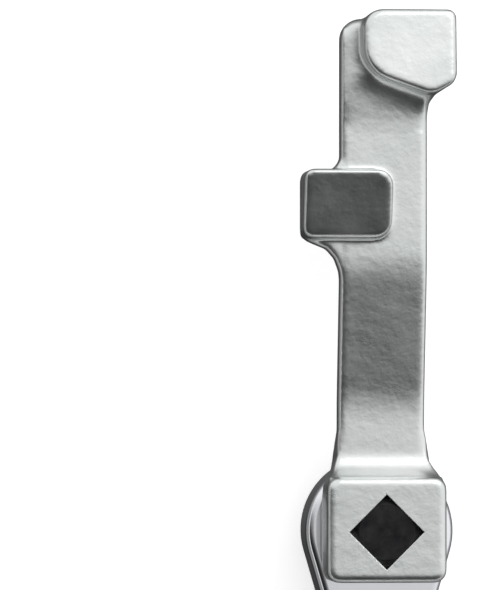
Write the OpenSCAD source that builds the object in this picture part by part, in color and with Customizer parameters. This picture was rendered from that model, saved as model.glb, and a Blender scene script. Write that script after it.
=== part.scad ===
// Offset two-lug spanner head with a 1/2 inch square socket, seated on its ratchet handle.
// Z = 0 is the seating plane between the spanner head and the ratchet.
// +Z is the lug side, +Y runs along the arm to the far lug, the drive turns about Z.

/* [Spanner head] */
// Across flats of the square drive
drive_af = 12.7; // [12.6:0.05:12.8]
// Gap all round the square in the socket
socket_play = 0.1; // [0.05:0.05:0.2]
// Width of the socket block
block_w = 29.4; // [29:0.1:30]
// Distance from the drive axis to the block's free end
block_near = 12.2; // [11.5:0.1:12.5]
// Distance from the drive axis to the block's arm end
block_far = 13.2; // [13:0.1:13.6]
// Height of the socket block
block_h = 14; // [13.9:0.1:16]
// Distance from the drive axis to the arm's left edge
arm_left = 10.75; // [10.2:0.05:11]
// Distance from the drive axis to the arm's right edge
arm_right = 10.15; // [9.8:0.05:10.6]
// Thickness of the arm
arm_t = 6; // [5:0.5:6]
// Height that the joggle lifts the arm
joggle_rise = 6; // [4:0.5:7]
// Where the joggle starts along the arm
joggle_start = 27; // [25:1:28]
// Where the joggle ends along the arm
joggle_end = 68; // [64:1:69]
// End of the arm, from the drive axis
arm_end = 123.3; // [122.5:0.1:124]
// Width of each lug across the arm
lug_w = 21.5; // [20:0.1:23]
// Length of the near lug along the arm
near_lug_l = 16.5; // [15.5:0.1:17]
// Length of the far lug along the arm
far_lug_l = 16.5; // [15.5:0.1:17]
// Height of the middle of each lug's face
lug_face_z = 19; // [17:0.5:19.5]
// Tilt of the near lug's face towards the socket
near_tilt = 17; // [10:1:18]
// Tilt of the far lug's face towards the tip
far_tilt = 5; // [0:1:6]

/* [Ratchet] */
// Radius of the round ratchet head
head_r = 18; // [18:0.1:19]
// Number of ratchet teeth, a multiple of 12
tooth_count = 36; // [36:12:36]
// Radius over the tooth tips
gear_tip_r = 11.8; // [11.6:0.1:11.9]
// Depth of a ratchet tooth
tooth_depth = 1.1; // [1:0.05:1.1]
// Full rocking angle of the pawl
pawl_rock = 9; // [9:0.5:10]
// Full swing of the reversing lever
lever_swing = 50; // [40:5:50]
// Travel of the release button
button_travel = 2.4; // [2.2:0.1:2.6]

/* [Handle] */
// Radius of the plain shank
shank_r = 6.25; // [6:0.05:6.5]
// Distance from the drive axis to the grip
grip_start = 142; // [135:1:150]
// Length of the knurled grip
grip_l = 84; // [75:1:90]
// Radius of the knurled grip
grip_r = 8.5; // [8:0.1:9]

/* [Hidden] */
$fn = 64;

cut = 1;                 // how far a cutter runs past a face
run_gap = 0.05;          // radial running clearance of a shaft in its bore
slack = 0.3;             // gap between pieces that only pass each other

shoulder_y = 18.8;       // where the shoulders meet the arm's width
lug_foot_z = 8;          // how low a lug's foot is sunk in the arm
near_lug_x = -9.65;      // middle of the near lug's face
near_lug_y = 78.6;
far_lug_x = 5.75;        // middle of the far lug's face
far_lug_y = 117.1;

// Levels below the seating plane
shoulder_z = -slack;
body_top_z = -1.2;
cavity_top_z = -5.2;
gear_top_z = -5.4;
gear_bottom_z = -14.4;
cover_top_z = -16;
cover_bottom_z = -18.5;
shank_z = (body_top_z + cover_bottom_z) / 2;

// Drive
tang_top_z = 13.5;
shoulder_r = 9.9;
journal_r = 7.9;
cavity_r = gear_tip_r + slack;
rod_r = 2.35;
waist_r = 1.75;
counterbore_r = 4.4;
counterbore_z = -9;
ball_r = 1.95;
ball_z = 7.6;
ball_reach = (drive_af - socket_play) / 2 + run_gap - ball_r;

// Pawl and selector
pin_y = -14.6;
pin_r = 1.3;
pawl_top_z = -5.6;
pawl_bottom_z = -14;
selector_y = -21.8;
selector_r = 2.6;
cam_r = 3.4;
plunger_r = 1.3;
plunger_end = 4.3;

// Neck of the ratchet head
neck_y = -32;
neck_r = 9;
tangent = asin((head_r - neck_r) / -neck_y);
screw_spots = [[13.7, 5], [-13.7, 5], [0, -30.5]];
core_r = 5;
handle_end = grip_start + grip_l + 10;

module rounded_rect(low, high, r) {
    // Rectangle between two corners with round corners of radius r
    translate([low[0] + r, low[1]]) square([high[0] - low[0] - 2 * r, high[1] - low[1]]);
    translate([low[0], low[1] + r]) square([high[0] - low[0], high[1] - low[1] - 2 * r]);
    for (x = [low[0] + r, high[0] - r], y = [low[1] + r, high[1] - r])
        translate([x, y]) circle(r = r);
}

module rounded_box(low, high, corner_r, edge_r) {
    // Box with corners of corner_r in plan and every other edge rounded to edge_r
    intersection() {
        translate([0, 0, low[2]])
            linear_extrude(height = high[2] - low[2])
                rounded_rect([low[0], low[1]], [high[0], high[1]], corner_r);
        translate([low[0], 0, 0]) rotate([90, 0, 90])
            linear_extrude(height = high[0] - low[0])
                rounded_rect([low[1], low[2]], [high[1], high[2]], edge_r);
        translate([0, high[1], 0]) rotate([90, 0, 0])
            linear_extrude(height = high[1] - low[1])
                rounded_rect([low[0], low[2]], [high[0], high[2]], edge_r);
    }
}

module drum(r, low_z, high_z) {
    // Cylinder about Z between two levels
    translate([0, 0, low_z]) cylinder(h = high_z - low_z, r = r);
}

module along_handle(r, start, end) {
    // Cylinder about the shank's axis between two distances from the drive axis
    translate([0, -start, shank_z]) rotate([90, 0, 0]) cylinder(h = end - start, r = r);
}

// Rise of a ramp at distance t into it: a bend, an even slope, and a bend back to flat
joggle_l = joggle_end - joggle_start;
bend_l = 8;
slope = joggle_rise / (joggle_l - bend_l);
function ramp(t) =
    t < bend_l ? slope * t * t / (2 * bend_l) :
    t < joggle_l - bend_l ? slope * (t - bend_l / 2) :
    joggle_rise - slope * (joggle_l - t) * (joggle_l - t) / (2 * bend_l);

joggle_steps = 13;
joggle_points = [
    for (i = [0:joggle_steps])
        let (t = i * joggle_l / joggle_steps) [joggle_start + t, ramp(t)]
];

// Hollow fillet where the arm runs into the socket block
fillet_points = [
    for (a = [90:-15:0])
        [shoulder_y - (shoulder_y - block_far) * cos(a), block_h - 2 - (block_h - 2 - arm_t) * sin(a)]
];

// Plan of a shoulder, from the block's width to the arm's edge
function shoulder_points(edge) = [[block_w / 2, 12.2], [12.2, 15.2], [edge, shoulder_y]];

// Gentle rise of the arm's top towards the tip
arm_top = joggle_rise + arm_t;
tip_rise = 0.9;
rise_start = 98.5;
rise_end = 108;

module arm_side() {
    // Side view of the arm, Y across and Z up
    polygon(concat(
        [[0, 0]], joggle_points,
        [[arm_end, joggle_rise], [arm_end, arm_top + tip_rise]],
        [[rise_end, arm_top + tip_rise], [rise_start, arm_top]],
        [for (i = [joggle_steps:-1:0]) joggle_points[i] + [0, arm_t]],
        fillet_points, [[0, block_h - 2]]
    ));
}

module arm_plan() {
    // Plan view of the arm with its shoulders and the flares under the lugs
    tip_r = 4.8;
    left_shoulder = shoulder_points(arm_left);
    polygon(concat(
        [[-block_w / 2, 0], [block_w / 2, 0]], shoulder_points(arm_right),
        [
            [arm_right, 102], [lug_w - 5, 108], [lug_w - 5, arm_end - 2],
            [tip_r - arm_left, arm_end - 0.01], [tip_r - arm_left, arm_end],
            [-arm_left, arm_end - tip_r], [-arm_left, 90.5], [-19, 85], [-19, 71], [-arm_left, 64]
        ],
        [for (i = [2:-1:0]) [-left_shoulder[i][0], left_shoulder[i][1]]]
    ));
    translate([tip_r - arm_left, arm_end - tip_r]) circle(r = tip_r);
}

module near_lug_outline() {
    translate([near_lug_x, near_lug_y])
        rounded_rect([-lug_w / 2, -near_lug_l / 2], [lug_w / 2, near_lug_l / 2], 3);
}

module far_lug_outline() {
    // Rectangle whose inner side runs down to the right before it meets the flare
    right = lug_w / 2;
    translate([far_lug_x, far_lug_y]) {
        rounded_rect([-right, -far_lug_l / 2], [right, far_lug_l / 2], 4);
        polygon([[-right + 2.5, -6.6], [right - 5.5, -12.2], [right, -9.2], [right, -5]]);
    }
}

module far_lug_foot() {
    // Two low steps in place of the cast fillet at the foot of the far lug's inner wall
    foot_r = 1.5;
    intersection() {
        for (step = [0, 0.5])
            translate([0, -foot_r * (1 - step), lug_foot_z])
                linear_extrude(height = arm_top + tip_rise + 0.4 + 1.2 * step - lug_foot_z)
                    far_lug_outline();
        linear_extrude(height = lug_face_z) arm_plan();
    }
}

module lug(x, y, tilt) {
    // Upright block over an outline, its face sloped about the point (x, y)
    intersection() {
        translate([0, 0, lug_foot_z]) linear_extrude(height = lug_w) children();
        translate([x, y, lug_face_z]) rotate([tilt, 0, 0])
            translate([0, 0, -lug_w / 2]) cube([2 * lug_w, 2 * lug_w, lug_w], center = true);
    }
}

module wrench_head() {
    color([0.72, 0.74, 0.74]) difference() {
        union() {
            rounded_box([-block_w / 2, -block_near, 0], [block_w / 2, block_far, block_h], 3, 2);
            intersection() {
                rotate([90, 0, 90]) linear_extrude(height = 2 * lug_w, center = true) arm_side();
                linear_extrude(height = lug_face_z) arm_plan();
            }
            far_lug_foot();
            lug(near_lug_x, near_lug_y, near_tilt) near_lug_outline();
            lug(far_lug_x, far_lug_y, -far_tilt) far_lug_outline();
        }
        rotate([0, 0, 45])
            cube([drive_af + socket_play, drive_af + socket_play, 4 * block_h], center = true);
    }
}

module head_outline(inset) {
    // Round head running into the neck along two tangent lines
    weld = 0.02;
    big = head_r - inset - weld;
    small = neck_r - inset - weld;
    circle(r = big + weld);
    translate([0, neck_y]) circle(r = small + weld);
    polygon([
        [big * cos(tangent), -big * sin(tangent)],
        [small * cos(tangent), neck_y - small * sin(tangent)],
        [-small * cos(tangent), neck_y - small * sin(tangent)],
        [-big * cos(tangent), -big * sin(tangent)]
    ]);
}

module pawl_pocket() {
    // Space behind the ring of teeth for the pawl and the selector
    polygon([
        [-11.2, -4], [-11.2, -14.6], [-7, -18.2], [-4, -18.2], [-4, selector_y],
        [4, selector_y], [4, -18.2], [7, -18.2], [11.2, -14.6], [11.2, -4]
    ]);
    translate([0, selector_y]) circle(r = 4.4);
}

module screw_pattern() {
    for (spot = screw_spots) translate([spot[0], spot[1], 0]) children();
}

module ratchet_body() {
    rim = 1.5;
    color([0.80, 0.81, 0.82]) difference() {
        union() {
            translate([0, 0, cover_top_z])
                linear_extrude(height = body_top_z - rim - cover_top_z) head_outline(0);
            translate([0, 0, body_top_z - rim]) cylinder(h = rim, r1 = head_r, r2 = head_r - rim);
            translate([0, neck_y, body_top_z - rim])
                cylinder(h = rim, r1 = neck_r, r2 = neck_r - rim);
            intersection() {
                translate([0, 0, body_top_z - rim])
                    linear_extrude(height = rim) head_outline(rim);
                drum(40, body_top_z - rim, body_top_z);
            }
            intersection() {
                translate([0, neck_y + 2, shank_z])
                    rotate([90, 0, 0]) cylinder(h = 26, r1 = neck_r, r2 = shank_r);
                translate([-neck_r, -80, cover_top_z])
                    cube([2 * neck_r, 60, body_top_z - cover_top_z]);
            }
            along_handle(shank_r, 42, grip_start - 4);
            along_handle(core_r, grip_start - 4, handle_end - 4);
        }
        drum(shoulder_r + run_gap, cavity_top_z - cut, body_top_z + cut);
        translate([0, 0, -3]) rotate_extrude() translate([shoulder_r + 0.85, 0]) circle(r = 0.85);
        drum(cavity_r, cover_top_z - cut, cavity_top_z);
        translate([0, 0, cover_top_z - cut])
            linear_extrude(height = cavity_top_z - cover_top_z + cut) pawl_pocket();
        translate([0, pin_y, 0]) drum(pin_r + run_gap, -7, -3.6);
        screw_pattern() drum(1.25, cover_top_z - cut, -11);
        translate([0, 7 - handle_end, shank_z]) cylinder(h = 30, r = 1.02, center = true);
    }
}

module cover_plate() {
    // Plate with a low boss round the release button
    color([0.78, 0.79, 0.80]) difference() {
        union() {
            translate([0, 0, cover_bottom_z])
                linear_extrude(height = cover_top_z - cover_bottom_z) head_outline(0.4);
            drum(9.5, cover_bottom_z - 0.4, cover_top_z - 0.5);
        }
        drum(journal_r + run_gap, cover_bottom_z - cut, cover_top_z + cut);
        translate([0, selector_y, 0])
            drum(selector_r + run_gap, cover_bottom_z - cut, cover_top_z + cut);
        translate([0, pin_y, 0]) drum(pin_r + run_gap, cover_top_z - 1, cover_top_z + cut);
        screw_pattern() drum(1.5, cover_bottom_z - cut, cover_top_z + cut);
        screw_pattern() drum(2.4, cover_bottom_z - cut, cover_bottom_z + 1.5);
    }
}

module cover_screws() {
    color([0.25, 0.25, 0.26]) screw_pattern() difference() {
        union() {
            drum(1.2, cover_bottom_z + 1, -11.5);
            drum(2.3, cover_bottom_z + 0.1, cover_bottom_z + 1.4);
        }
        translate([0, 0, cover_bottom_z]) cylinder(h = 2, r = 1.2, center = true, $fn = 6);
    }
}

module front_seal() {
    color([0.08, 0.08, 0.08]) translate([0, 0, -3])
        rotate_extrude() translate([shoulder_r + 0.85, 0]) circle(r = 0.75);
}

module gear_outline(growth) {
    // Ring of pointed teeth, its tips and roots moved out by growth
    step = 360 / tooth_count;
    polygon([
        for (i = [0:tooth_count - 1], half = [0, 1])
            let (r = gear_tip_r + growth - half * tooth_depth, a = (i + half / 2) * step)
                [r * cos(a), r * sin(a)]
    ]);
}

module drive_gear() {
    tang_af = drive_af - socket_play;
    corner_r = 8.5;
    color([0.12, 0.12, 0.13]) difference() {
        union() {
            translate([0, 0, gear_bottom_z])
                linear_extrude(height = gear_top_z - gear_bottom_z) gear_outline(0);
            drum(shoulder_r, gear_top_z, shoulder_z);
            drum(journal_r, cover_bottom_z + 0.2, gear_bottom_z);
            intersection() {
                rotate([0, 0, 45])
                    cube([tang_af, tang_af, 2 * tang_top_z], center = true);
                union() {
                    drum(corner_r, -1, tang_top_z - 1.2);
                    translate([0, 0, tang_top_z - 1.2])
                        cylinder(h = 1.2, r1 = corner_r, r2 = corner_r - 1.9);
                }
            }
        }
        drum(rod_r + run_gap, counterbore_z - cut, tang_top_z - 1.3);
        drum(counterbore_r, cover_bottom_z - cut, counterbore_z);
        drum(4.9, -17.95, -17.15);
        translate([0, 0, ball_z]) rotate([0, 90, 45]) cylinder(h = 20, r = ball_r + run_gap);
    }
}

module washer(inner_r, outer_r, low_z, high_z) {
    difference() {
        drum(outer_r, low_z, high_z);
        drum(inner_r, low_z - cut, high_z + cut);
    }
}

module thrust_washer() {
    color([0.72, 0.55, 0.28]) washer(journal_r + run_gap, 11.2, -15.7, gear_bottom_z - 0.1);
}

module button_clip() {
    color([0.30, 0.30, 0.31]) difference() {
        washer(3.2, 4.8, -17.85, -17.25);
        translate([0, -5, -17.5]) cube([2.4, 10, 2], center = true);
    }
}

module release_button() {
    color([0.80, 0.81, 0.82]) {
        drum(3, -18.9, -16.4);
        drum(4.2, -17, -16);
        drum(rod_r, -16, ball_z - 3.9);
        drum(waist_r, ball_z - 3.9, ball_z - button_travel);
        translate([0, 0, ball_z - button_travel])
            cylinder(h = button_travel, r1 = waist_r, r2 = rod_r);
        drum(rod_r, ball_z, ball_z + 1.6);
    }
}

module coil_spring(mean_r, wire_r, length, turns) {
    // Round wire wound about Z from 0 to length
    sides = 6;
    per_turn = 12;
    rings = turns * per_turn;
    pitch = (length - 2 * wire_r) / rings;
    polyhedron(
        points = [
            for (i = [0:rings], j = [0:sides - 1])
                let (a = 360 * i / per_turn, b = 360 * j / sides, r = mean_r + wire_r * cos(b))
                    [r * cos(a), r * sin(a), wire_r + i * pitch + wire_r * sin(b)]
        ],
        faces = concat(
            [[for (j = [0:sides - 1]) j]],
            [[for (j = [sides - 1:-1:0]) rings * sides + j]],
            [
                for (i = [0:rings - 1], j = [0:sides - 1])
                    let (k = (j + 1) % sides)
                        [i * sides + j, (i + 1) * sides + j, (i + 1) * sides + k, i * sides + k]
            ]
        )
    );
}

module release_spring() {
    color([0.55, 0.56, 0.58]) translate([0, 0, -15.95])
        coil_spring(3.35, 0.35, counterbore_z + 15.9, 5);
}

module detent_ball() {
    color([0.75, 0.76, 0.78])
        rotate([0, 0, 45]) translate([ball_reach, 0, ball_z]) sphere(r = ball_r);
}

module about_pin(angle) {
    translate([0, pin_y]) rotate(angle) translate([0, -pin_y]) children();
}

module pawl_outline() {
    // Crescent with teeth on both arms, drawn with the pawl in its middle position
    outer_r = 16.2;
    reach = 38;
    mesh_gap = 0.15;
    difference() {
        union() {
            intersection() {
                circle(r = outer_r);
                polygon([
                    [0, 0], [-40 * sin(reach), -40 * cos(reach)], [40 * sin(reach), -40 * cos(reach)]
                ]);
            }
            translate([-4, -17.4]) square([8, 3]);
        }
        for (side = [-1, 1]) about_pin(side * pawl_rock / 2) gear_outline(mesh_gap);
        intersection() {
            circle(r = 12.9);
            translate([-5, -14]) square([10, 14]);
        }
        translate([0, pin_y]) circle(r = pin_r + run_gap);
    }
}

module pawl() {
    color([0.45, 0.46, 0.48]) translate([0, 0, pawl_bottom_z])
        linear_extrude(height = pawl_top_z - pawl_bottom_z)
            about_pin(-pawl_rock / 2) pawl_outline();
}

module pawl_pin() {
    color([0.60, 0.61, 0.63]) translate([0, pin_y, 0]) drum(pin_r, cover_top_z - 0.9, -3.7);
}

module at_selector() {
    // Selector pieces turned to their forward position
    translate([0, selector_y, 0]) rotate([0, 0, lever_swing / 2]) children();
}

module selector_shaft() {
    color([0.45, 0.46, 0.48]) at_selector() difference() {
        union() {
            drum(cam_r, cover_top_z + 0.2, pawl_top_z);
            drum(selector_r, -21.5, cover_top_z + 0.2);
        }
        translate([0, -1.6, -10]) rotate([-90, 0, 0]) cylinder(h = 10, r = plunger_r + run_gap);
        drum(1.05, -22, -17);
    }
}

module selector_lever() {
    color([0.80, 0.81, 0.82]) at_selector() difference() {
        union() {
            drum(6.5, -21.8, cover_bottom_z - slack);
            translate([-3.5, -15, -21.8]) cube([7, 15, 3]);
            translate([0, -15, 0]) drum(3.5, -21.8, cover_bottom_z - slack);
        }
        drum(selector_r, -21.5, cover_bottom_z);
        drum(1.3, -23, -21);
    }
}

module selector_screw() {
    color([0.25, 0.25, 0.26]) at_selector() difference() {
        union() {
            drum(2.2, -22.9, -21.8);
            drum(1, -21.9, -17.2);
        }
        translate([0, 0, -23]) cylinder(h = 1.4, r = 1.1, center = true, $fn = 6);
    }
}

module selector_plunger() {
    color([0.60, 0.61, 0.63]) at_selector() translate([0, 0, -10]) rotate([-90, 0, 0]) {
        translate([0, 0, 1]) cylinder(h = plunger_end - plunger_r - 1, r = plunger_r);
        translate([0, 0, plunger_end - plunger_r]) sphere(r = plunger_r);
    }
}

module selector_spring() {
    color([0.55, 0.56, 0.58]) at_selector() translate([0, -1.55, -10])
        rotate([-90, 0, 0]) coil_spring(0.85, 0.2, 2.5, 3);
}

module ring_on_handle(outer_r, start, end) {
    difference() {
        along_handle(outer_r, start, end);
        along_handle(core_r + run_gap, start - cut, end + cut);
    }
}

module grip_collar() {
    color([0.07, 0.07, 0.07]) ring_on_handle(7.4, grip_start - 3.9, grip_start - 0.1);
}

module grip_sleeve() {
    color([0.80, 0.81, 0.82]) ring_on_handle(grip_r, grip_start, grip_start + grip_l);
}

module end_cap() {
    cap_start = grip_start + grip_l + 0.1;
    color([0.80, 0.81, 0.82]) difference() {
        union() {
            along_handle(grip_r, cap_start, handle_end - 2);
            translate([0, 2 - handle_end, shank_z])
                rotate([90, 0, 0]) cylinder(h = 2, r1 = grip_r, r2 = grip_r - 2);
        }
        along_handle(core_r + run_gap, cap_start - cut, handle_end - 3.9);
        translate([0, 7 - handle_end, shank_z]) cylinder(h = 30, r = 1.02, center = true);
    }
}

module cap_pin() {
    color([0.60, 0.61, 0.63]) translate([0, 7 - handle_end, shank_z])
        cylinder(h = 2 * grip_r - 0.6, r = 1, center = true);
}

wrench_head();
ratchet_body();
cover_plate();
cover_screws();
front_seal();
drive_gear();
thrust_washer();
button_clip();
release_button();
release_spring();
detent_ball();
pawl();
pawl_pin();
selector_shaft();
selector_lever();
selector_screw();
selector_plunger();
selector_spring();
grip_collar();
grip_sleeve();
end_cap();
cap_pin();
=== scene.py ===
import math

import bmesh
import bpy
from mathutils import Matrix, Vector


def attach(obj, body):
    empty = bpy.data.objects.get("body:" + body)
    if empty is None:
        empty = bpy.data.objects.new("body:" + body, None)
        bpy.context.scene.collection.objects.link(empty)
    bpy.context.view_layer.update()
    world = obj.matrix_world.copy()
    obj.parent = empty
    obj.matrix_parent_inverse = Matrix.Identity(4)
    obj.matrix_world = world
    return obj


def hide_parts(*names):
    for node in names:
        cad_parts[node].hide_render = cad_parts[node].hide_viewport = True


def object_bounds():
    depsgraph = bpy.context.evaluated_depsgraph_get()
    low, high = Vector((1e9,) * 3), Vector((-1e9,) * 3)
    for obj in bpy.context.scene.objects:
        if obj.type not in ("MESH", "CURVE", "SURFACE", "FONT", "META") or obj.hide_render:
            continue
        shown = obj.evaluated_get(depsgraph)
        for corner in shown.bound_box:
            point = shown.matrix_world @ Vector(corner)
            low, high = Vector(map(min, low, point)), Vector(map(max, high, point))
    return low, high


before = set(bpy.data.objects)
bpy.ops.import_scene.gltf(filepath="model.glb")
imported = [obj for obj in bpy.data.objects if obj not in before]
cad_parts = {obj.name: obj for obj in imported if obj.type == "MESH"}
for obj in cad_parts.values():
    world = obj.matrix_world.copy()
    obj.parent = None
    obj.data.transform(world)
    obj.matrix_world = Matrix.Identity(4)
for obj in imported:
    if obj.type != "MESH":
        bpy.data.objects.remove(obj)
cad_low, cad_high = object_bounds()
scene = bpy.context.scene

# The light: a white tent, bright towards the tip and dark towards the handle, with a paler
# strip at eye level all round, which gives satin steel its bands of light and shade.
scene.view_settings.view_transform = "Standard"

world = bpy.data.worlds.new("tent")
scene.world = world
world.use_nodes = True
nodes, links = world.node_tree.nodes, world.node_tree.links
nodes.clear()
direction = nodes.new("ShaderNodeTexCoord")
slope = nodes.new("ShaderNodeVectorMath")
slope.operation = "DOT_PRODUCT"
brighter_way = (0.36, 0.93, 0.0)
slope.inputs[1].default_value = brighter_way
to_ramp = nodes.new("ShaderNodeMapRange")
to_ramp.inputs["From Min"].default_value = -1.0
tent_light = nodes.new("ShaderNodeValToRGB")
tent_light.color_ramp.interpolation = "EASE"
tent_stops = [(0.0, 0.03), (0.26, 0.02), (0.34, 0.06), (0.42, 0.26), (0.50, 0.68), (0.58, 0.97), (0.8, 1.0)]
tent = nodes.new("ShaderNodeBackground")
height = nodes.new("ShaderNodeSeparateXYZ")
below = nodes.new("ShaderNodeMapRange")
below.inputs["From Min"].default_value, below.inputs["From Max"].default_value = -0.35, 0.1
below.inputs["To Min"].default_value = 0.12
around = nodes.new("ShaderNodeMapRange")
around.inputs["From Min"].default_value = -1.0
strip_light = nodes.new("ShaderNodeValToRGB")
strip_stops = [
    (0.0, 0.02), (0.12, 0.04), (0.28, 0.34), (0.46, 0.26), (0.56, 0.3), (0.59, 0.85), (0.66, 0.85),
    (0.7, 0.0),
]
shade_of_tent = nodes.new("ShaderNodeMixRGB")
shade_of_tent.blend_type = "MULTIPLY"
shade_of_tent.inputs["Fac"].default_value = 1.0
both_lights = nodes.new("ShaderNodeMixRGB")
both_lights.blend_type = "LIGHTEN"
both_lights.inputs["Fac"].default_value = 1.0
backdrop = nodes.new("ShaderNodeBackground")
backdrop.inputs["Color"].default_value = (0.96, 0.96, 0.96, 1)
for ramp, levels in ((tent_light, tent_stops), (strip_light, strip_stops)):
    stops = ramp.color_ramp.elements
    while len(stops) < len(levels):
        stops.new(0.5)
    for stop, (place, level) in zip(stops, levels):
        stop.position = place
        stop.color = (level, level, level * 1.01, 1)
seen = nodes.new("ShaderNodeLightPath")
either = nodes.new("ShaderNodeMixShader")
out = nodes.new("ShaderNodeOutputWorld")
links.new(direction.outputs["Generated"], slope.inputs[0])
links.new(slope.outputs["Value"], to_ramp.inputs["Value"])
links.new(to_ramp.outputs["Result"], tent_light.inputs["Fac"])
links.new(direction.outputs["Generated"], height.inputs["Vector"])
links.new(height.outputs["Z"], below.inputs["Value"])
links.new(height.outputs["Z"], around.inputs["Value"])
links.new(around.outputs["Result"], strip_light.inputs["Fac"])
links.new(tent_light.outputs["Color"], shade_of_tent.inputs["Color1"])
links.new(below.outputs["Result"], shade_of_tent.inputs["Color2"])
links.new(shade_of_tent.outputs["Color"], both_lights.inputs["Color1"])
links.new(strip_light.outputs["Color"], both_lights.inputs["Color2"])
links.new(both_lights.outputs["Color"], tent.inputs["Color"])
links.new(seen.outputs["Is Camera Ray"], either.inputs["Fac"])
links.new(tent.outputs["Background"], either.inputs[1])
links.new(backdrop.outputs["Background"], either.inputs[2])
links.new(either.outputs["Shader"], out.inputs["Surface"])

key = bpy.data.lights.new("key", "AREA")
key.energy, key.size = 3.0, 1.0
key_lamp = bpy.data.objects.new("key", key)
key_lamp.location = (0.55, 1.0, 1.1)
key_lamp.rotation_euler = (-key_lamp.location).to_track_quat("-Z", "Y").to_euler()
scene.collection.objects.link(key_lamp)

# The floor: a plain pale sheet that the tool lies on. It glows a little so that it stays
# white, and the polished metal doesn't mirror it.
floor_mesh = bpy.data.meshes.new("floor")
bm = bmesh.new()
bmesh.ops.create_grid(bm, x_segments=1, y_segments=1, size=3.0, matrix=Matrix.Translation((0, 0, cad_low.z)))
bm.to_mesh(floor_mesh)
bm.free()
floor = bpy.data.objects.new("floor", floor_mesh)
scene.collection.objects.link(floor)
floor.visible_glossy = False
pale = bpy.data.materials.new("pale_floor")
pale.use_nodes = True
pale_shader = pale.node_tree.nodes["Principled BSDF"]
pale_shader.inputs["Base Color"].default_value = (0.93, 0.93, 0.93, 1)
pale_shader.inputs["Roughness"].default_value = 0.9
pale_shader.inputs["Emission Color"].default_value = (1, 1, 1, 1)
pale_shader.inputs["Emission Strength"].default_value = 0.6
floor_mesh.materials.append(pale)

# The camera: far off and almost straight above the spanner head, a little to its left, with
# a lens long enough to show 141 mm from top to bottom.
camera_data = bpy.data.cameras.new("camera")
camera_data.sensor_width = 36.0
camera = bpy.data.objects.new("camera", camera_data)
scene.collection.objects.link(camera)
scene.camera = camera
aim = Vector((-0.0354, 0.0568, 0.012))
camera.location = aim + Vector((-0.1, -0.026, 1.2))
view_height = 0.1413
camera_data.lens = camera_data.sensor_width * (camera.location - aim).length / view_height
back = (camera.location - aim).normalized()
right = Vector((0, 1, 0)).cross(back).normalized()
camera.rotation_euler = Matrix((right, back.cross(right), back)).transposed().to_euler()
camera_data.clip_start, camera_data.clip_end = 0.05, 20.0

# Spanner head: one steel casting, shot blasted, with a square socket through its block, a
# joggled arm and two lugs. It drops over the ratchet's square and lifts off again.
mm = 0.001
block_low, block_high = Vector((-14.3, -12.2, 0)) * mm, Vector((14.6, 13.2, 14)) * mm
arm_left, arm_right, arm_thick, arm_end = 10.9 * mm, 10.15 * mm, 6 * mm, 123.3 * mm
joggle_start, joggle_end, joggle_rise, bend = 27 * mm, 68 * mm, 6 * mm, 8 * mm
shoulder_low, shoulder_mid, shoulder_y = 12.2 * mm, 15.2 * mm, 18.8 * mm
shoulder_mid_half = 12.2 * mm
rise_start, rise_end, tip_rise = 96 * mm, 108 * mm, 0.9 * mm
lug_foot_z = 8 * mm
socket_side = 12.8 * mm
grain = 0.4 * mm


def everything(bm):
    """All of a bmesh, for the operators that cut it."""
    return bm.verts[:] + bm.edges[:] + bm.faces[:]


def rounded_block(low, high, left_corner, right_corner, rim):
    """A box whose upright edges and rims are rounded, as its own bmesh."""
    bm = bmesh.new()
    size = high - low
    box = Matrix.Translation((low + high) / 2) @ Matrix.Diagonal((*size, 1))
    bmesh.ops.create_cube(bm, size=1, matrix=box)
    for side, corner in ((low.x, left_corner), (high.x, right_corner)):
        upright = [e for e in bm.edges if all(abs(v.co.x - side) < 1e-7 for v in e.verts)
                   and abs(e.verts[0].co.z - e.verts[1].co.z) > size.z / 2]
        bmesh.ops.bevel(bm, geom=upright, offset=corner, segments=8, profile=0.5, affect="EDGES", material=-1)
    rims = [e for e in bm.edges if abs(e.verts[0].co.z - e.verts[1].co.z) < size.z / 2]
    bmesh.ops.bevel(bm, geom=rims, offset=rim, segments=5, profile=0.5, affect="EDGES", material=-1)
    return bm


def raise_face(bm, face, shift):
    """Extrudes a face of a bmesh by a shift."""
    grown = bmesh.ops.extrude_face_region(bm, geom=[face])["geom"]
    bmesh.ops.translate(bm, vec=shift, verts=[g for g in grown if isinstance(g, bmesh.types.BMVert)])


def slab(corners, low_z, high_z):
    """A flat outline given thickness between two heights, as its own bmesh."""
    bm = bmesh.new()
    face = bm.faces.new([bm.verts.new((x * mm, y * mm, low_z)) for x, y in corners])
    raise_face(bm, face, (0, 0, high_z - low_z))
    return bm


def joggle(y):
    """How far the joggle has lifted the arm at y: a bend, an even slope, a bend back."""
    run = joggle_end - joggle_start
    even = joggle_rise / (run - bend)
    t = min(max(y - joggle_start, 0), run)
    if t < bend:
        return even * t * t / (2 * bend)
    if t < run - bend:
        return even * (t - bend / 2)
    return joggle_rise - even * (run - t) ** 2 / (2 * bend)


def cast_arm():
    """The arm: a bar with rounded rims and tip, cut across and lifted by the joggle."""
    low, high = Vector((-arm_left, 0, 0)), Vector((arm_right, arm_end, arm_thick))
    bm = rounded_block(low, high, 4.8 * mm, 2 * mm, 1.4 * mm)
    bend_cuts, rise_cuts = 24, 8
    cuts = [joggle_start + (joggle_end - joggle_start) * i / bend_cuts for i in range(bend_cuts + 1)]
    cuts += [rise_start + (rise_end - rise_start) * i / rise_cuts for i in range(rise_cuts + 1)]
    for y in cuts:
        bmesh.ops.bisect_plane(bm, geom=everything(bm), plane_co=(0, y, 0), plane_no=(0, 1, 0))
    for v in bm.verts:
        up = min(max((v.co.y - rise_start) / (rise_end - rise_start), 0), 1)
        v.co.z += joggle(v.co.y) + tip_rise * up * up * (3 - 2 * up) * (v.co.z > arm_thick / 2)
    return bm


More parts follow.
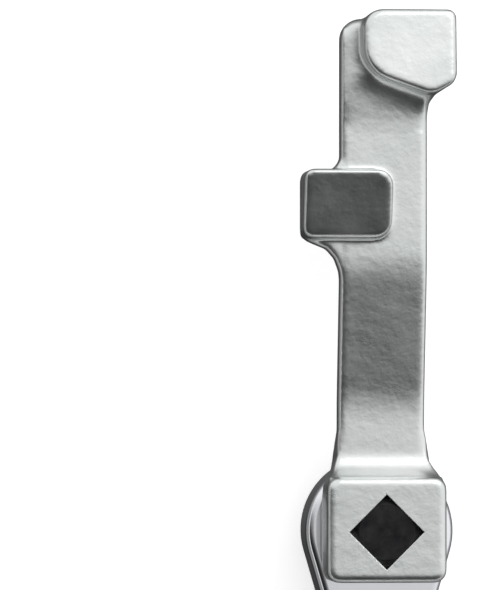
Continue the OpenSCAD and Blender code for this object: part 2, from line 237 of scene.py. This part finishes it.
def shoulders():
    """The hollow sweep from the block down to the arm, narrowing as it goes."""
    drop, foot = 12 * mm - arm_thick, 24 * mm
    curve = [(shoulder_y - (shoulder_y - block_high.y) * math.cos(math.radians(a)),
              12 * mm - drop * math.sin(math.radians(a))) for a in range(0, 91, 10)]
    profile = [(8 * mm, 0), (foot, 0), (foot, arm_thick - 0.3 * mm)] + curve[::-1] + [(8 * mm, 12 * mm)]
    bm = bmesh.new()
    face = bm.faces.new([bm.verts.new((-1, y, z)) for y, z in profile])
    raise_face(bm, face, (2, 0, 0))
    bmesh.ops.bisect_plane(bm, geom=everything(bm), plane_co=(0, shoulder_mid, 0), plane_no=(0, 1, 0))
    widest = block_high.x - 0.1 * mm
    for v in bm.verts:
        to_mid = min(max((v.co.y - shoulder_low) / (shoulder_mid - shoulder_low), 0), 1)
        to_arm = min(max((v.co.y - shoulder_mid) / (shoulder_y - shoulder_mid), 0), 1)
        edge = arm_right if v.co.x > 0 else arm_left
        v.co.x *= widest - (widest - shoulder_mid_half) * to_mid - (shoulder_mid_half - edge) * to_arm
    return bm


def flare(outline):
    """A widening of the arm under a lug, lifted by the joggle as the arm is."""
    bm = slab(outline, 0, arm_thick - 0.1 * mm)
    brim = [e for e in bm.edges if abs(e.verts[0].co.z - e.verts[1].co.z) < 1e-7]
    bmesh.ops.bevel(bm, geom=brim, offset=1.1 * mm, segments=4, profile=0.5, affect="EDGES", material=-1)
    for v in bm.verts:
        v.co.z += joggle(v.co.y)
    return bm


def lug(outline, pivot, tilt, corners, rim):
    """A lug: an upright block over an outline, corners rounded in plan, its face sloped about the pivot."""
    bm = slab(outline, lug_foot_z, pivot.z)
    for (x, y), radius in zip(outline, corners):
        upright = [e for e in bm.edges if all((v.co.xy - Vector((x, y)) * mm).length < 1e-6 for v in e.verts)]
        bmesh.ops.bevel(bm, geom=upright, offset=radius, segments=8, profile=0.5, affect="EDGES", material=-1)
    brim = [e for e in bm.edges if all(abs(v.co.z - pivot.z) < 1e-7 for v in e.verts)]
    bmesh.ops.bevel(bm, geom=brim, offset=rim, segments=5, profile=0.5, affect="EDGES", material=-1)
    for v in bm.verts:
        v.co.z += (v.co.y - pivot.y) * math.tan(tilt) * (v.co.z - lug_foot_z) / (pivot.z - lug_foot_z)
    return bm


near_flare = [(-9, 91), (-10.75, 89.8), (-11.8, 88), (-13.6, 86.6), (-19, 86), (-20.3, 84.5), (-20.3, 71),
              (-18.6, 69.7), (-14.2, 67.9), (-12.2, 65.6), (-11.1, 62.6), (-10.75, 59.5), (-9, 58)]
far_flare = [(16.4, 123.2), (16.4, 108.6), (15.4, 107.2), (12.2, 105.2), (10.6, 103), (10.15, 100), (9, 99),
             (9, 123.2)]
near_lug = [(1.1, 70.4), (1.1, 86.8), (-20.4, 86.8), (-20.4, 70.4)]
near_lug_corners = [v * mm for v in (4, 4, 2.2, 2.2)]
near_lug_pivot, near_tilt = Vector((-9.65, 78.6, 19)) * mm, math.radians(17)
far_lug = [(-5.9, 110.3), (10.4, 104.5), (16.45, 107.8), (16.45, 125.25), (-5.9, 125.25)]
far_lug_corners = [v * mm for v in (5.5, 2, 2, 2, 4.5)]
far_lug_pivot, far_tilt = Vector((5.75, 117.1, 19)) * mm, math.radians(-5)
casting = bmesh.new()
for part in (
    rounded_block(block_low, block_high, 3 * mm, 3 * mm, 1.6 * mm),
    cast_arm(),
    shoulders(),
    flare(near_flare),
    flare(far_flare),
    lug(near_lug, near_lug_pivot, near_tilt, near_lug_corners, 1 * mm),
    lug(far_lug, far_lug_pivot, far_tilt, far_lug_corners, 1.1 * mm),
):
    bmesh.ops.recalc_face_normals(part, faces=part.faces)
    loose = bpy.data.meshes.new("loose")
    part.to_mesh(loose)
    part.free()
    casting.from_mesh(loose)
    bpy.data.meshes.remove(loose)


def bake(piece):
    """Applies a piece's modifiers to its mesh."""
    applied = bpy.data.meshes.new_from_object(piece.evaluated_get(bpy.context.evaluated_depsgraph_get()))
    piece.modifiers.clear()
    piece.data = applied


def cut_out(piece, cutter):
    """Takes a cutter's closed bmesh out of a piece with crisp edges."""
    bmesh.ops.recalc_face_normals(cutter, faces=cutter.faces)
    mesh = bpy.data.meshes.new("cutter")
    cutter.to_mesh(mesh)
    cutter.free()
    tool = bpy.data.objects.new("cutter", mesh)
    scene.collection.objects.link(tool)
    boolean = piece.modifiers.new("cut", "BOOLEAN")
    boolean.operation, boolean.solver, boolean.object = "DIFFERENCE", "EXACT", tool
    bake(piece)
    bpy.data.objects.remove(tool)


def piece_from(name, bm):
    """Puts a finished bmesh in the scene."""
    mesh = bpy.data.meshes.new(name)
    bm.to_mesh(mesh)
    bm.free()
    piece = bpy.data.objects.new(name, mesh)
    scene.collection.objects.link(piece)
    return piece


spanner_head = piece_from("spanner_head", casting)
fuse = spanner_head.modifiers.new("fuse", "REMESH")
fuse.mode, fuse.voxel_size, fuse.use_smooth_shade = "VOXEL", grain, True
soften = spanner_head.modifiers.new("soften", "SMOOTH")
soften.factor, soften.iterations = 0.5, 16
bake(spanner_head)


def dress(piece, low, high, passes):
    """Smooths the part of a piece inside a box, as a fettler dresses a casting."""
    bm = bmesh.new()
    bm.from_mesh(piece.data)
    inside = [v for v in bm.verts if all(low[i] * mm < v.co[i] < high[i] * mm for i in range(3))]
    for _ in range(passes):
        bmesh.ops.smooth_vert(bm, verts=inside, factor=0.5, use_axis_x=True, use_axis_y=True, use_axis_z=True)
    bm.to_mesh(piece.data)
    bm.free()


def swell(piece):
    """The soft hollow that runs the arm's top up into the sides of the far lug."""
    top, past_near_lug, fade = joggle_rise + arm_thick, 90, 4 * mm
    west_x = far_lug[0][0]
    corner_x, corner_y = far_lug[1]
    for v in piece.data.vertices:
        x, y = v.co.xy / mm
        south = ((corner_x - x) * 0.336 + (corner_y - y) * 0.942, 5.5, 1.7)
        west = (west_x - x, 3.2, 0.9)
        if v.co.z < top - 0.5 * mm or y < past_near_lug:
            continue
        away, reach, lift = max(south, west, key=lambda side: side[0] / side[1])
        rise = lift * max(1 - max(away, 0) / reach, 0) ** 2
        v.co.z += rise * mm * max(1 - (v.co.z - top) / fade, 0)


swell(spanner_head)
dress(spanner_head, (-10, 96, 11), (15.5, 124, 16.2), 40)
square = bmesh.new()
socket = Matrix.Rotation(math.radians(45), 4, "Z") @ Matrix.Diagonal((socket_side, socket_side, 60 * mm, 1))
bmesh.ops.create_cube(square, size=1, matrix=socket)
cut_out(spanner_head, square)
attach(spanner_head, "wrench")
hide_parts("wrench_head")


def metal(name, colour, roughness):
    """A bare metal with its colour and roughness on the shader; returns its tree and shader."""
    material = bpy.data.materials.new(name)
    material.use_nodes = True
    shader = material.node_tree.nodes["Principled BSDF"]
    shader.inputs["Metallic"].default_value = 1.0
    shader.inputs["Base Color"].default_value = (*colour, 1)
    shader.inputs["Roughness"].default_value = roughness
    return material, shader


def noise(tree, scale, detail, roughness=0.5):
    """A noise texture on the piece's own metres; scale is in grains per metre."""
    place = tree.nodes.new("ShaderNodeTexCoord")
    texture = tree.nodes.new("ShaderNodeTexNoise")
    texture.inputs["Scale"].default_value = scale
    texture.inputs["Detail"].default_value = detail
    texture.inputs["Roughness"].default_value = roughness
    tree.links.new(place.outputs["Object"], texture.inputs["Vector"])
    return texture


def spread(tree, source, low, high):
    """Maps a 0 to 1 output to a range."""
    ranged = tree.nodes.new("ShaderNodeMapRange")
    ranged.inputs["From Min"].default_value, ranged.inputs["From Max"].default_value = 0.3, 0.7
    ranged.inputs["To Min"].default_value, ranged.inputs["To Max"].default_value = low, high
    tree.links.new(source, ranged.inputs["Value"])
    return ranged.outputs["Result"]


def bump(tree, height, shader, strength, depth):
    """Roughens a shader's normal with a height."""
    bumped = tree.nodes.new("ShaderNodeBump")
    bumped.inputs["Strength"].default_value = strength
    bumped.inputs["Distance"].default_value = depth
    tree.links.new(height, bumped.inputs["Height"])
    tree.links.new(bumped.outputs["Normal"], shader.inputs["Normal"])


def tinted(tree, source, dark, light):
    """Runs a 0 to 1 output between two colours."""
    ramp = tree.nodes.new("ShaderNodeValToRGB")
    first, last = ramp.color_ramp.elements
    first.position, last.position = 0.32, 0.68
    first.color, last.color = (*dark, 1), (*light, 1)
    tree.links.new(source, ramp.inputs["Fac"])
    return ramp.outputs["Color"]


cast_steel, cast_shader = metal("cast_steel", (0.80, 0.82, 0.81), 0.36)
tree = cast_steel.node_tree
skin = noise(tree, 750, 4, 0.6)
orange_peel = noise(tree, 210, 2)
tint = noise(tree, 60, 3)
bumps = tree.nodes.new("ShaderNodeMath")
bumps.operation = "MULTIPLY_ADD"
bumps.inputs[1].default_value = 0.5
tree.links.new(skin.outputs["Fac"], bumps.inputs[0])
tree.links.new(orange_peel.outputs["Fac"], bumps.inputs[2])
bump(tree, bumps.outputs["Value"], cast_shader, 0.35, 0.0003)
tree.links.new(spread(tree, tint.outputs["Fac"], 0.26, 0.36), cast_shader.inputs["Roughness"])
cast_colour = tinted(tree, tint.outputs["Fac"], (0.73, 0.765, 0.745), (0.83, 0.84, 0.835))
tree.links.new(cast_colour, cast_shader.inputs["Base Color"])
spanner_head.data.materials.clear()
spanner_head.data.materials.append(cast_steel)

# Ratchet body: one forging of head, neck and round shank, bored for the drive and pocketed
# for the pawl from below, then polished and chrome plated. Everything else hangs on it.
shank_z = -9.85 * mm
body_top, body_bottom = -1.2 * mm, -16 * mm
cavity_top = -5.2 * mm
head_radius, neck_radius, neck_y = 18 * mm, 9 * mm, -32 * mm
shank_radius, core_radius, fit = 6.25 * mm, 5 * mm, 0.05 * mm
grip_start, grip_end, handle_end = 142 * mm, 226 * mm, 236 * mm


def drum(radius, low_z, high_z, x=0.0, y=0.0, sides=72):
    """An upright cylinder between two heights, as its own bmesh."""
    bm = bmesh.new()
    middle = Matrix.Translation((x, y, (low_z + high_z) / 2))
    bmesh.ops.create_cone(
        bm, cap_ends=True, segments=sides, radius1=radius, radius2=radius, depth=high_z - low_z, matrix=middle
    )
    return bm


def turned(profile, steps=96):
    """A shape turned about the handle's axis from (distance from the drive, radius) points."""
    bm = bmesh.new()
    points = [bm.verts.new((0, -along, shank_z + radius)) for along, radius in profile]
    edges = [bm.edges.new(pair) for pair in zip(points, points[1:])]
    if profile[0][1] > 0:
        edges.append(bm.edges.new((points[-1], points[0])))
    bmesh.ops.spin(
        bm, geom=points + edges, cent=(0, 0, shank_z), axis=(0, 1, 0), angle=math.tau, steps=steps,
        use_merge=True,
    )
    bmesh.ops.remove_doubles(bm, verts=bm.verts, dist=1e-6)
    bmesh.ops.recalc_face_normals(bm, faces=bm.faces)
    return bm


def forging():
    """The head and neck: a plan outline given thickness, its neck drawn down to a round."""
    lean = math.asin((head_radius - neck_radius) / -neck_y)
    arc_steps = 44
    arc = [i * (math.pi + 2 * lean) / arc_steps - lean for i in range(arc_steps + 1)]
    outline = [(head_radius * math.cos(a), head_radius * math.sin(a)) for a in arc]
    neck = [(-neck_radius * math.cos(lean), neck_y - neck_radius * math.sin(lean)), (-7.2 * mm, -41 * mm),
            (-6.3 * mm, -47 * mm), (-6 * mm, -54 * mm)]
    outline += neck + [(-x, y) for x, y in neck[::-1]]
    bm = bmesh.new()
    face = bm.faces.new([bm.verts.new((x, y, body_bottom)) for x, y in outline])
    raise_face(bm, face, (0, 0, body_top - body_bottom))
    for level, rim in ((body_top, 2.2 * mm), (body_bottom, 0.4 * mm)):
        edge = [e for e in bm.edges
                if all(abs(v.co.z - level) < 1e-7 and v.co.y > -53 * mm for v in e.verts)]
        bmesh.ops.bevel(bm, geom=edge, offset=rim, segments=5, profile=0.5, affect="EDGES", material=-1)
    for i in range(17):
        cut_y = (-24 - 1.8 * i) * mm
        bmesh.ops.bisect_plane(bm, geom=everything(bm), plane_co=(0, cut_y, 0), plane_no=(0, 1, 0))
    for x in (-4.5, -3, -1.5, 0, 1.5, 3, 4.5):
        bmesh.ops.bisect_plane(bm, geom=everything(bm), plane_co=(x * mm, 0, 0), plane_no=(1, 0, 0))
    for z in (-14, -12, -9.85, -8, -6, -4):
        bmesh.ops.bisect_plane(bm, geom=everything(bm), plane_co=(0, 0, z * mm), plane_no=(0, 0, 1))
    for v in bm.verts:
        drawn = min(max((-28 * mm - v.co.y) / (24 * mm), 0), 1)
        drawn = drawn * drawn * (3 - 2 * drawn)
        arm = Vector((v.co.x, 0, v.co.z - shank_z))
        if arm.length > 0:
            round_arm = arm.normalized() * (shank_radius - 0.12 * mm)
            v.co.x += (round_arm.x - arm.x) * drawn
            v.co.z += (round_arm.z - arm.z) * drawn
    bmesh.ops.recalc_face_normals(bm, faces=bm.faces)
    return bm


def join(piece, other):
    """Fuses another closed bmesh into a piece."""
    tool = piece_from("other", other)
    boolean = piece.modifiers.new("join", "BOOLEAN")
    boolean.operation, boolean.solver, boolean.object = "UNION", "EXACT", tool
    bake(piece)
    bpy.data.objects.remove(tool)


def shade(piece, sharp_angle=32):
    """Smooth shading that keeps hard edges, with flat faces kept flat."""
    piece.data.shade_smooth()
    piece.data.set_sharp_from_angle(angle=math.radians(sharp_angle))
    weighted = piece.modifiers.new("even", "WEIGHTED_NORMAL")
    weighted.keep_sharp = True


ratchet_head = piece_from("ratchet_head", forging())
join(ratchet_head, turned([
    (44 * mm, 0), (44 * mm, 5.2 * mm), (50 * mm, 6 * mm), (56 * mm, shank_radius),
    (136.6 * mm, shank_radius), (137.5 * mm, 5.9 * mm), (138 * mm, core_radius),
    (231.4 * mm, core_radius), (232 * mm, 4.4 * mm), (232 * mm, 0),
]))
pocket = slab([
    (-11.2, -4), (-11.2, -14.6), (-7, -18.2), (-4.4, -18.2), (-4.4, -21.8), (-3.8, -24), (-2.2, -25.6),
    (0, -26.2), (2.2, -25.6), (3.8, -24), (4.4, -21.8), (4.4, -18.2), (7, -18.2), (11.2, -14.6), (11.2, -4),
], body_bottom - 1 * mm, cavity_top)
groove = bmesh.new()
bmesh.ops.create_circle(
    groove, cap_ends=True, segments=20, radius=0.85 * mm,
    matrix=Matrix.Translation((10.75 * mm, 0, -3 * mm)) @ Matrix.Rotation(math.radians(90), 4, "X"),
)
bmesh.ops.spin(
    groove, geom=everything(groove), axis=(0, 0, 1), cent=(0, 0, 0), angle=math.tau, steps=72, use_merge=True
)
screw_spots = [(13.7, 5), (-13.7, 5), (0, -30.5)]
cutters = [
    drum(9.95 * mm, cavity_top - 1 * mm, 1 * mm), drum(12.1 * mm, body_bottom - 1 * mm, cavity_top), pocket,
    drum(1.35 * mm, -7 * mm, -3.6 * mm, y=-14.6 * mm, sides=24),
    drum(1.02 * mm, shank_z - 15 * mm, shank_z + 15 * mm, y=7 * mm - handle_end, sides=24),
]
cutters += [drum(1.25 * mm, body_bottom - 1 * mm, -11 * mm, x * mm, y * mm, sides=24) for x, y in screw_spots]
for cutter in cutters:
    cut_out(ratchet_head, cutter)
shade(ratchet_head)
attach(ratchet_head, "handle")
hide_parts("ratchet_body")
chrome, chrome_shader = metal("chrome", (0.84, 0.85, 0.87), 0.08)
tree = chrome.node_tree
buffing = noise(tree, 260, 5, 0.6)
haze = noise(tree, 55, 3)
tree.links.new(spread(tree, haze.outputs["Fac"], 0.05, 0.15), chrome_shader.inputs["Roughness"])
bump(tree, buffing.outputs["Fac"], chrome_shader, 0.12, 0.00004)
ratchet_head.data.materials.append(chrome)

# Cover plate: a flat steel plate under the head with a low boss round the button, held by
# three countersunk hexagon socket screws. Satin plated; the screws are blackened.


def rounded_copy(node, rim, sharp_angle=32):
    """A node's solid as its own piece, its triangles merged and its sharp edges rounded off."""
    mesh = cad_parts[node].data.copy()
    bm = bmesh.new()
    bm.from_mesh(mesh)
    bpy.data.meshes.remove(mesh)
    bmesh.ops.remove_doubles(bm, verts=bm.verts, dist=2e-6)
    bmesh.ops.dissolve_limit(bm, angle_limit=math.radians(1.0), verts=bm.verts, edges=bm.edges)
    sharp = [e for e in bm.edges if e.is_manifold and e.calc_face_angle(0) > math.radians(sharp_angle)]
    bmesh.ops.bevel(
        bm, geom=sharp, offset=rim, segments=3, profile=0.5, affect="EDGES", material=-1, clamp_overlap=True
    )
    piece = piece_from(node + "_finished", bm)
    shade(piece)
    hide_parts(node)
    return piece


def brushed(tree, shader, across, along, rough, depth):
    """Fine straight brushing: a noise stretched along the handle."""
    place = tree.nodes.new("ShaderNodeTexCoord")
    stretch = tree.nodes.new("ShaderNodeMapping")
    stretch.inputs["Scale"].default_value = (across, along, across)
    lines = tree.nodes.new("ShaderNodeTexNoise")
    lines.inputs["Scale"].default_value = 1.0
    lines.inputs["Detail"].default_value = 3.0
    tree.links.new(place.outputs["Object"], stretch.inputs["Vector"])
    tree.links.new(stretch.outputs["Vector"], lines.inputs["Vector"])
    tree.links.new(spread(tree, lines.outputs["Fac"], *rough), shader.inputs["Roughness"])
    bump(tree, lines.outputs["Fac"], shader, 0.25, depth)


satin_chrome, satin_shader = metal("satin_chrome", (0.74, 0.75, 0.76), 0.28)
brushed(satin_chrome.node_tree, satin_shader, 4200, 260, (0.2, 0.36), 0.00003)
black_steel, black_shader = metal("black_steel", (0.045, 0.045, 0.05), 0.38)
tree = black_steel.node_tree
oil = noise(tree, 320, 4, 0.6)
tree.links.new(spread(tree, oil.outputs["Fac"], 0.28, 0.5), black_shader.inputs["Roughness"])
black_colour = tinted(tree, oil.outputs["Fac"], (0.018, 0.018, 0.02), (0.045, 0.043, 0.042))
tree.links.new(black_colour, black_shader.inputs["Base Color"])
bump(tree, oil.outputs["Fac"], black_shader, 0.2, 0.00005)
cover = rounded_copy("cover_plate", 0.3 * mm)
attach(cover, "handle")
cover.data.materials.append(satin_chrome)
screws = rounded_copy("cover_screws", 0.12 * mm)
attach(screws, "handle")
screws.data.materials.append(black_steel)

# Drive: the toothed ring, its journals and the square tang are one hardened, blackened piece,
# with a bronze thrust washer under the ring and a spring clip that keeps the button in.
drive = rounded_copy("drive_gear", 0.25 * mm)
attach(drive, "drive")
drive.data.materials.append(black_steel)


def finish_node(node, material):
    """Gives a node that is shown as it is its material."""
    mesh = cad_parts[node].data
    mesh.materials.clear()
    mesh.materials.append(material)


bronze, bronze_shader = metal("bronze", (0.66, 0.47, 0.24), 0.3)
tree = bronze.node_tree
patina = noise(tree, 260, 4, 0.6)
bronze_colour = tinted(tree, patina.outputs["Fac"], (0.52, 0.34, 0.16), (0.74, 0.54, 0.29))
tree.links.new(bronze_colour, bronze_shader.inputs["Base Color"])
tree.links.new(spread(tree, patina.outputs["Fac"], 0.22, 0.42), bronze_shader.inputs["Roughness"])
spring_steel, spring_shader = metal("spring_steel", (0.42, 0.43, 0.45), 0.34)
tree = spring_steel.node_tree
temper = noise(tree, 420, 4, 0.6)
spring_colour = tinted(tree, temper.outputs["Fac"], (0.34, 0.35, 0.38), (0.5, 0.5, 0.51))
tree.links.new(spring_colour, spring_shader.inputs["Base Color"])
tree.links.new(spread(tree, temper.outputs["Fac"], 0.26, 0.44), spring_shader.inputs["Roughness"])
bright_steel, bright_shader = metal("bright_steel", (0.7, 0.71, 0.73), 0.16)
tree = bright_steel.node_tree
grinding = noise(tree, 1400, 3, 0.6)
tree.links.new(spread(tree, grinding.outputs["Fac"], 0.1, 0.24), bright_shader.inputs["Roughness"])
bump(tree, grinding.outputs["Fac"], bright_shader, 0.15, 0.00002)
finish_node("thrust_washer", bronze)
finish_node("button_clip", spring_steel)
finish_node("release_spring", spring_steel)
finish_node("detent_ball", bright_steel)

# Release button: a satin plated button and rod in one, pressed from below; its tapered land
# lets the ball in the square sink so that the spanner head lifts off.
button = rounded_copy("release_button", 0.35 * mm)
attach(button, "button")
button.data.materials.append(satin_chrome)

# Front seal: a moulded black nitrile ring that fills the groove round the drive's shoulder
# and keeps grit out of the head.
seal_rubber = bpy.data.materials.new("seal_rubber")
seal_rubber.use_nodes = True
rubber_shader = seal_rubber.node_tree.nodes["Principled BSDF"]
tree = seal_rubber.node_tree
moulding = noise(tree, 900, 4, 0.6)
rubber_colour = tinted(tree, moulding.outputs["Fac"], (0.018, 0.018, 0.019), (0.04, 0.04, 0.041))
tree.links.new(rubber_colour, rubber_shader.inputs["Base Color"])
tree.links.new(spread(tree, moulding.outputs["Fac"], 0.5, 0.72), rubber_shader.inputs["Roughness"])
bump(tree, moulding.outputs["Fac"], rubber_shader, 0.3, 0.00008)
finish_node("front_seal", seal_rubber)

# Pawl and selector: a hardened double pawl rocks on a ground pin, thrown over by a sprung
# plunger in the selector shaft, which the satin lever under the cover turns.
finish_node("pawl", spring_steel)
finish_node("pawl_pin", bright_steel)
finish_node("selector_shaft", spring_steel)
finish_node("selector_plunger", bright_steel)
finish_node("selector_spring", spring_steel)
lever = rounded_copy("selector_lever", 0.5 * mm)
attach(lever, "selector")
lever.data.materials.append(satin_chrome)
lever_screw = rounded_copy("selector_screw", 0.15 * mm)
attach(lever_screw, "selector")
lever_screw.data.materials.append(black_steel)

# Grip: a steel sleeve on the handle's core, diamond knurled between two plain bands, with a
# black ring before it and a domed chromed cap pinned on behind it.
grip_radius, knurl_depth, diamonds, band = 8.5 * mm, 0.45 * mm, 34, 3.2 * mm


def corner(along, radius, turn, rim=0.6 * mm):
    """Three points that round an outer corner of a turned profile; turn is +1 at its end."""
    steps = [(0, rim), (0.3 * rim, 0.3 * rim), (rim, 0)]
    points = [(along - turn * back, radius - drop) for back, drop in steps]
    return points if turn < 0 else points[::-1]


def knurled_sleeve():
    """A sleeve whose outside is a grid of low pyramids, one face pair to each half of a diamond."""
    knurled, lead = grip_end - grip_start - 2 * band, 0.5 * mm
    rows = 2 * round(knurled / (math.tau * grip_radius / diamonds))
    pitch = knurled / rows
    bore = core_radius + fit
    profile = [(grip_start, bore)] + corner(grip_start, grip_radius, -1)
    profile += [(grip_start + band - lead, grip_radius)]
    profile += [(grip_start + band + i * pitch, grip_radius) for i in range(rows + 1)]
    profile += [(grip_end - band + lead, grip_radius)]
    profile += corner(grip_end, grip_radius, 1) + [(grip_end, bore)]
    bm = turned(profile, 2 * diamonds)
    valleys = set()
    for v in bm.verts:
        row = (-v.co.y - grip_start - band) / pitch
        column = math.atan2(v.co.x, v.co.z - shank_z) / math.tau * 2 * diamonds
        out = Vector((v.co.x, 0, v.co.z - shank_z))
        if out.length > bore + 1 * mm and -0.01 < row < rows + 0.01:
            if (round(row) + round(column)) % 2 or round(row) in (0, rows):
                v.co -= out.normalized() * knurl_depth
                valleys.add(v)
    for face in list(bm.faces):
        low = [v for v in face.verts if v in valleys]
        if len(face.verts) == 4 and len(low) == 2 and not bm.edges.get(low):
            bmesh.utils.face_split(face, *low)
    return bm


def placed(name, bm, body, nodes, material):
    piece = piece_from(name, bm)
    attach(piece, body)
    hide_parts(*nodes)
    piece.data.materials.append(material)
    return piece


sleeve = placed("knurled_sleeve", knurled_sleeve(), "handle", ["grip_sleeve"], satin_chrome)
shade(sleeve, 14)
bore = core_radius + fit
ring_start, ring_end, ring_radius = grip_start - 3.9 * mm, grip_start - 0.1 * mm, 7.4 * mm
ring = [(ring_start, bore)] + corner(ring_start, ring_radius, -1, 0.9 * mm)
ring += corner(ring_end, ring_radius, 1, 0.5 * mm) + [(ring_end, bore)]
shade(placed("collar", turned(ring), "handle", ["grip_collar"], seal_rubber))
cap_start = grip_end + 0.1 * mm
cap_floor = 232.1 * mm
dome = [(cap_start + 4.5 * mm + 5.4 * mm * math.sin(a), 4.5 * mm + 4 * mm * math.cos(a))
        for a in (math.radians(degrees) for degrees in range(0, 91, 10))]
cap_profile = [(cap_floor, 0), (cap_floor, bore), (cap_start, bore)] + corner(cap_start, grip_radius, -1)
cap_profile += dome + [(handle_end, 0)]
cap = placed("domed_cap", turned(cap_profile), "handle", ["end_cap"], chrome)
cut_out(cap, drum(1.02 * mm, shank_z - 15 * mm, shank_z + 15 * mm, y=7 * mm - handle_end, sides=24))
shade(cap)
finish_node("cap_pin", bright_steel)
